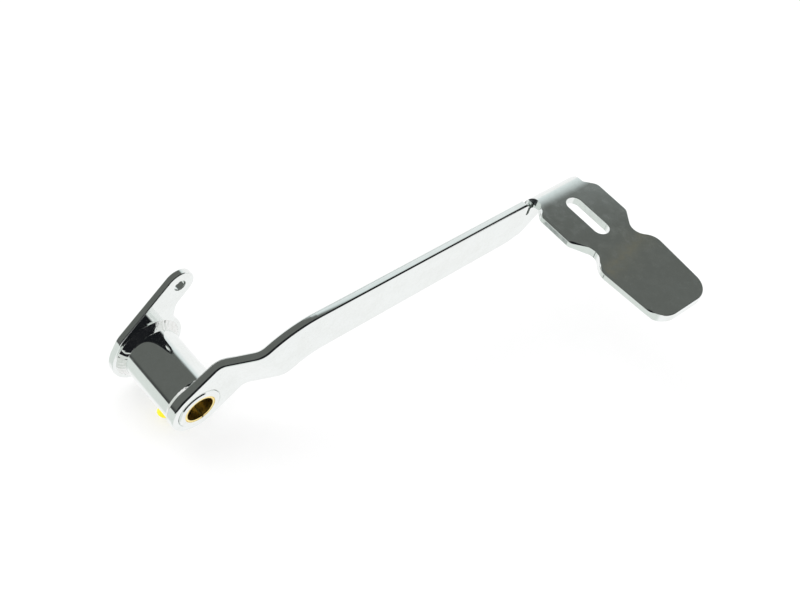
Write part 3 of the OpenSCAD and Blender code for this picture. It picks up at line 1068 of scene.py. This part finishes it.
@cache
def weld_tree() -> tuple[NodeTree, dict[str, str]]:
    """Builds the weld bead's Geometry Nodes tree once.

    The tree lays a grid round the tube. One side of the grid runs round the bead, the other over
    its crown from the plate's toe to the tube's toe, and one buried row closes it underneath.

    Returns:
        The tree, and the identifiers of its inputs by name. But for the material, each input has
        the name of a field of WeldBead.
    """
    numbers = ("Face", "Towards", "Leg Out", "Leg Along", "Pitch", "Depth", "Seed",
               "Tube Radius", "Bury", "Crown", "Stop At", "Stop Width", "Stop Height",
               "Calm At", "Calm Width")
    wiring, given, out = open_group(
        "Weld Bead", "GeometryNodeTree",
        {**dict.fromkeys(numbers, Socket.NUMBER), "Rows": Socket.COUNT, "Around": Socket.COUNT,
         "Material": Socket.MATERIAL},
        {"Geometry": Socket.GEOMETRY})
    # How far the ripples bow and wander, how flat their tops are, and their mean height
    seed_step, bow, drift, flatness, mean_ripple = 3.7, 0.55, 1.6, 2.6, 0.7
    # How lumpy the bead is against its ripples, the mean of a noise, and where a blob starts
    lumpiness, mean_noise, blob_from = 1.6, 0.5, 0.38
    get, m = given.outputs, wiring.math
    grid = wiring.node("GeometryNodeMeshGrid", {
        "Size X": 1.0, "Size Y": 1.0, "Vertices X": m("ADD", get["Around"], 1.0),
        "Vertices Y": m("ADD", get["Rows"], 2.0)})
    at = wiring.node("ShaderNodeSeparateXYZ", {
        0: wiring.node("GeometryNodeInputPosition").outputs[0]})
    turn = m("ADD", at.outputs["X"], 0.5)
    row = m("ROUND", m("MULTIPLY", m("ADD", at.outputs["Y"], 0.5), m("ADD", get["Rows"], 1.0)))
    top = m("SUBTRACT", get["Rows"], 1.0)
    is_corner = m("COMPARE", row, get["Rows"], 0.5)
    on_arc = m("LESS_THAN", row, m("SUBTRACT", get["Rows"], 0.5))
    t = m("MULTIPLY", m("DIVIDE", row, top), on_arc)
    back = m("SUBTRACT", 1.0, t)
    angle = m("MULTIPLY", turn, 2 * math.pi)
    ring = wiring.node("ShaderNodeCombineXYZ", {
        "X": m("MULTIPLY", get["Seed"], seed_step), "Y": m("COSINE", angle),
        "Z": m("SINE", angle)}).outputs[0]
    wander = wiring.noise(ring, scale=2.6, detail=2.0, roughness=0.5)
    arrow = m("POWER", m("SUBTRACT", m("MULTIPLY", t, 2.0), 1.0), 2.0)
    steps = m("ROUND", m("DIVIDE", m("MULTIPLY", get["Tube Radius"], 2 * math.pi), get["Pitch"]))
    phase = m("ADD", m("MULTIPLY", turn, steps), m("MULTIPLY", arrow, bow))
    phase = m("ADD", phase, m("MULTIPLY", wander, drift))
    away = m("ABSOLUTE", m("SUBTRACT", m("MULTIPLY", m("FRACT", phase), 2.0), 1.0))
    ripple = m("SUBTRACT", 1.0, m("POWER", away, flatness))
    lump = wiring.noise(ring, scale=9.0, detail=2.0, roughness=0.6)
    swell = m("ADD", m("MULTIPLY", m("SUBTRACT", ripple, mean_ripple), get["Depth"]),
              m("MULTIPLY", m("SUBTRACT", lump, mean_noise),
                m("MULTIPLY", get["Depth"], lumpiness)))
    gap = m("DIVIDE", m("ABSOLUTE", m("SUBTRACT", turn, get["Stop At"])), get["Stop Width"])
    blob = wiring.noise(ring, scale=17.0, detail=2.0, roughness=0.6)
    lifted = m("MULTIPLY", wiring.ramp(gap, low=1.0, high=0.2), m("SUBTRACT", blob, blob_from))
    swell = m("ADD", swell, m("MULTIPLY", lifted, get["Stop Height"]))
    apart = m("DIVIDE", m("ABSOLUTE", m("SUBTRACT", turn, get["Calm At"])), get["Calm Width"])
    grow = m("MULTIPLY_ADD", swell, wiring.ramp(apart, low=0.6, high=1.0), 1.0)
    middle = m("MULTIPLY", m("MULTIPLY", m("MULTIPLY", t, back), 2.0), get["Crown"])
    under = m("MULTIPLY", get["Bury"], -1.0)
    keep = m("SUBTRACT", 1.0, is_corner)

    def stand(share: Value, buried: Value, leg: Value) -> NodeSocket:
        """Gives how far the bead stands out along one leg, or how deep it is buried.

        Args:
            share: 1 at the leg's own toe, 0 at the other.
            buried: The same, from the other toe.
            leg: The leg's length.

        Returns:
            The distance, which is negative in what the bead is laid on.
        """
        size = m("MULTIPLY", m("ADD", m("MULTIPLY", share, share), middle), leg)
        toe = m("MULTIPLY", m("MULTIPLY", buried, buried), under)
        over = m("ADD", m("MULTIPLY", size, grow), toe)
        return m("ADD", m("MULTIPLY", over, keep), m("MULTIPLY", under, is_corner))

    rise = stand(back, t, get["Leg Out"])
    depth = stand(t, back, get["Leg Along"])
    radius = m("ADD", get["Tube Radius"], rise)
    place = wiring.node("ShaderNodeCombineXYZ", {
        "X": m("MULTIPLY_ADD", depth, get["Towards"], get["Face"]),
        "Y": m("MULTIPLY", radius, m("COSINE", angle)),
        "Z": m("MULTIPLY", radius, m("SINE", angle))})
    moved = wiring.node("GeometryNodeSetPosition", {
        "Geometry": grid.outputs["Mesh"], "Position": place.outputs[0]})
    closed = wiring.node("GeometryNodeMergeByDistance", {
        "Geometry": moved.outputs["Geometry"], "Distance": WELD_GAP})
    flip = wiring.node("GeometryNodeFlipFaces", {
        "Mesh": closed.outputs["Geometry"],
        "Selection": m("GREATER_THAN", get["Towards"], 0.0)})
    real = wiring.node("GeometryNodeRealizeInstances", {"Geometry": flip.outputs["Mesh"]})
    painted = wiring.node("GeometryNodeSetMaterial", {
        "Geometry": real.outputs["Geometry"], "Material": get["Material"]})
    wiring.feed(out.inputs["Geometry"], painted.outputs["Geometry"])
    return wiring.tree, {item.name: item.identifier for item in wiring.tree.interface.items_tree
                         if item.in_out == "INPUT"}


@dataclass
class BallSpring:
    """The coil under the grease nipple's check ball, which shortens as the ball moves in on the
    real nipple; here it keeps its CAD length.
    """

    node: str
    name: str
    joint: str
    way: Triple
    travel: float

    def build(self, material: Material) -> Object:
        """Builds the coil over its CAD node.

        Args:
            material: Its finish.

        Returns:
            The finished coil, riding on the pedal.
        """
        mesh = welded_copy(self.node)
        data = bpy.data.meshes.new(self.name)
        mesh.to_mesh(data)
        mesh.free()
        data.shade_smooth()
        piece = new_piece(self.name, data, material)
        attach(piece, "pedal")
        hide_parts(self.node)
        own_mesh(piece)
        return piece


@dataclass
class TurnedParts:
    """The pieces whose solids already have their final shape, and take only a finish."""

    nodes: tuple[str, ...]

    def dress(self, material: Material) -> None:
        """Gives every node the finish.

        Args:
            material: The finish.
        """
        for name in self.nodes:
            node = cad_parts[name]
            for slot in node.material_slots:
                slot.link = "OBJECT"
                slot.material = material


@dataclass
class Studio:
    """The camera, the white table and the room that the bright metal mirrors.

    The room's shades and spans were fitted to the reflections in the one photograph. Each
    span is a ramp over the x, y or z of the direction that a mirrored ray takes.
    """

    lens: float = 61.27
    sensor: float = 36.0
    clip: Span = (0.02, 20.0)
    camera_at: Triple = (0.3593, -0.3339, 0.6944)
    camera_right: Triple = (0.6464, 0.7370, 0.1977)
    camera_down: Triple = (0.6583, -0.4076, -0.6329)
    camera_forward: Triple = (-0.3859, 0.5392, -0.7486)
    floor_height: float = -0.0335
    floor_half: float = 2.5
    paper_greys: Span = (0.50, 0.52)
    paper_scale: float = 900.0
    paper_glow: float = 0.52
    lamp_size: float = 1.6
    lamp_power: float = 9.0
    lamp_at: Triple = (-0.9, -0.4, 1.7)
    lamp_to: Triple = (0.03, 0.14, 0.0)
    room_light: float = 0.95
    shade: Colour = (0.125, 0.133, 0.124)
    black: Colour = (0.010, 0.011, 0.013)
    seam: Colour = (0.22, 0.20, 0.13)
    dusk: Colour = (0.77, 0.81, 0.78)
    sky: Colour = (0.72, 0.80, 0.80)
    card: Colour = (0.27, 0.30, 0.29)
    dark_above: Span = (-0.29, -0.25)
    dark_shift: float = 0.451
    dark_shift_most: float = 0.30
    dark_lean: float = -0.661
    dark_beside: Span = (0.15, 0.37)
    black_across: Span = (-0.18, 0.12)
    black_low: Span = (0.02, -0.24)
    black_low_share: float = 0.75
    seam_shift: float = 0.2965
    seam_reach: Span = (0.0042, 0.0012)
    seam_share: float = 0.55
    seam_ahead: Span = (0.45, 0.55)
    dusk_behind: Span = (-0.2, -0.45)
    sky_above: Span = (0.3, 0.72)
    card_left: Span = (-0.42, -0.385)
    card_right: Span = (-0.265, -0.335)
    card_lean: float = 0.90
    card_reach: Span = (0.055, 0.035)
    card_low: Span = (-0.5, -0.6)

    def build(self) -> None:
        """Builds the whole studio."""
        bpy.context.scene.view_settings.view_transform = "Standard"
        self.camera()
        self.room()
        self.floor()
        self.lamp()

    def camera(self) -> None:
        """Sets the camera at the photograph's place and angle."""
        data = bpy.data.cameras.new("Camera")
        data.lens = self.lens
        data.sensor_width = self.sensor
        data.clip_start, data.clip_end = self.clip
        made = bpy.data.objects.new("Camera", data)
        right, down, forward = (Vector(v).normalized() for v in (
            self.camera_right, self.camera_down, self.camera_forward))
        turned = Matrix((right, -down, -forward)).transposed().to_4x4()
        made.matrix_world = Matrix.Translation(self.camera_at) @ turned
        bpy.context.scene.collection.objects.link(made)
        bpy.context.scene.camera = made

    def room(self) -> None:
        """Builds the room: white to the camera, near white to plain light, half dark mirrored."""
        world = bpy.data.worlds.new("Studio Room")
        bpy.context.scene.world = world
        wiring = emptied(world)
        m, ramp, mix = wiring.math, wiring.ramp, wiring.mix
        way = wiring.node("ShaderNodeSeparateXYZ", {
            0: wiring.node("ShaderNodeTexCoord").outputs["Generated"]})
        x, y, z = (way.outputs[axis] for axis in "XYZ")
        side = m("MINIMUM", m("ADD", x, self.dark_shift), self.dark_shift_most)
        slant = m("ADD", m("MULTIPLY_ADD", y, self.dark_lean, z), side)
        dark = m("MULTIPLY", ramp(z, *self.dark_above), ramp(slant, *self.dark_beside))
        shaded = mix(ramp(x, *self.black_across), self.shade, self.black)
        low = ramp(z, *self.black_low, to=(0.0, self.black_low_share))
        shaded = mix(low, shaded, self.black)
        seam = ramp(m("ABSOLUTE", m("ADD", x, self.seam_shift)), *self.seam_reach,
                    to=(0.0, self.seam_share))
        shaded = mix(m("MULTIPLY", seam, ramp(y, *self.seam_ahead)), shaded, self.seam)
        pale = mix(ramp(y, *self.dusk_behind), WHITE, self.dusk)
        pale = mix(ramp(z, *self.sky_above), pale, self.sky)
        card = m("MULTIPLY", ramp(x, *self.card_left), ramp(x, *self.card_right))
        off_card = m("ABSOLUTE", m("SUBTRACT", m("DIVIDE", y, z), self.card_lean))
        card = m("MULTIPLY", card, ramp(off_card, *self.card_reach))
        pale = mix(m("MULTIPLY", card, ramp(z, *self.card_low)), pale, self.card)
        path = wiring.node("ShaderNodeLightPath")
        light = mix(path.outputs["Is Glossy Ray"], (self.room_light,) * 3,
                    mix(dark, pale, shaded))
        seen = mix(path.outputs["Is Camera Ray"], light, WHITE)
        back = wiring.node("ShaderNodeBackground", {"Color": seen})
        wiring.node("ShaderNodeOutputWorld", {"Surface": back.outputs[0]})

    def floor(self) -> None:
        """Builds the white table, which mirrored rays pass through to the room."""
        made = bpy.data.materials.new("White Table")
        wiring = emptied(made)
        fibre = wiring.noise(wiring.node("ShaderNodeTexCoord").outputs["Object"],
                             self.paper_scale, detail=2.0, roughness=0.5)
        darker, lighter = ((grey,) * 3 for grey in self.paper_greys)
        paper = wiring.node("ShaderNodeBsdfDiffuse", {
            "Color": wiring.mix(fibre, darker, lighter)})
        path = wiring.node("ShaderNodeLightPath")
        glow = wiring.node("ShaderNodeEmission", {
            "Strength": wiring.math("MULTIPLY", path.outputs["Is Camera Ray"], self.paper_glow)})
        lit = wiring.node("ShaderNodeAddShader", {0: paper.outputs[0], 1: glow.outputs[0]})
        through = wiring.node("ShaderNodeBsdfTransparent")
        choice = wiring.node("ShaderNodeMixShader", {
            0: path.outputs["Is Glossy Ray"], 1: lit.outputs[0], 2: through.outputs[0]})
        wiring.node("ShaderNodeOutputMaterial", {"Surface": choice.outputs[0]})
        mesh = bmesh.new()
        half, height = self.floor_half, self.floor_height
        mesh.faces.new([mesh.verts.new((x, y, height)) for x, y in (
            (-half, -half), (half, -half), (half, half), (-half, half))])
        data = bpy.data.meshes.new("table")
        mesh.to_mesh(data)
        mesh.free()
        new_piece("table", data, made)

    def lamp(self) -> None:
        """Hangs one broad soft lamp high on the left, which the metal doesn't mirror."""
        data = bpy.data.lights.new("Soft Lamp", "AREA")
        data.shape = "DISK"
        data.size = self.lamp_size
        data.energy = self.lamp_power
        made = bpy.data.objects.new("Soft Lamp", data)
        made.location = self.lamp_at
        made.rotation_mode = "QUATERNION"
        away = made.location - Vector(self.lamp_to)
        made.rotation_quaternion = away.to_track_quat("Z", "Y")
        made.visible_glossy = False
        bpy.context.scene.collection.objects.link(made)


def main() -> None:
    """Builds the pedal's pieces and the studio in order."""
    logging.basicConfig(level=logging.INFO, format="%(name)s: %(message)s")
    effects = Effects()
    chrome = CHROME.material(effects)
    weld_metal = CAST_CHROME.material(effects)
    zinc = ZINC_STEEL.material(effects)
    for maker, finish in (
            (BrakeArm(node="brake_arm", name="polished_arm", edge_radius=1.6 * MM),
             ARM_CHROME.material(effects)),
            (RodLever(node="rod_lever", name="polished_lever", edge_radius=0.8 * MM), chrome),
            (WeldBead(node="arm_weld", name="arm_bead", face=-6.35 * MM, towards=-1.0,
                      leg_out=0.95 * MM, leg_along=2.4 * MM, pitch=2.6 * MM, depth=0.05,
                      seed=1.0, bury=0.12 * MM), weld_metal),
            (WeldBead(node="lever_weld", name="lever_bead", face=-55.75 * MM, towards=1.0,
                      leg_out=4.5 * MM, leg_along=4.5 * MM, pitch=3.4 * MM, depth=0.065,
                      seed=2.0, stop_at=118 / 360, stop_width=0.045, stop_height=0.9,
                      calm_at=106 / 360, calm_width=50 / 360), weld_metal),
            (BallSpring(node="nipple_spring", name="ball_coil", joint="ball_slide",
                        way=(0.0, 0.275637, 0.961262), travel=0.6 * MM), zinc)):
        piece = maker.build(finish)
        log.info("%s: %d faces", piece.name, len(piece.data.polygons))
    for parts, finish in (
            (TurnedParts(("pivot_tube",)), chrome),
            (TurnedParts(("outer_bush", "inner_bush")), BRONZE.material(effects)),
            (TurnedParts(("nipple_body", "nipple_ball")), zinc),
            (TurnedParts(("nipple_cap",)), YELLOW_PLASTIC.material(effects))):
        parts.dress(finish)
        log.info("%s: %s", ", ".join(parts.nodes), finish.name)
    Studio().build()
    log.info("studio ready")


if __name__ == "__main__":
    main()
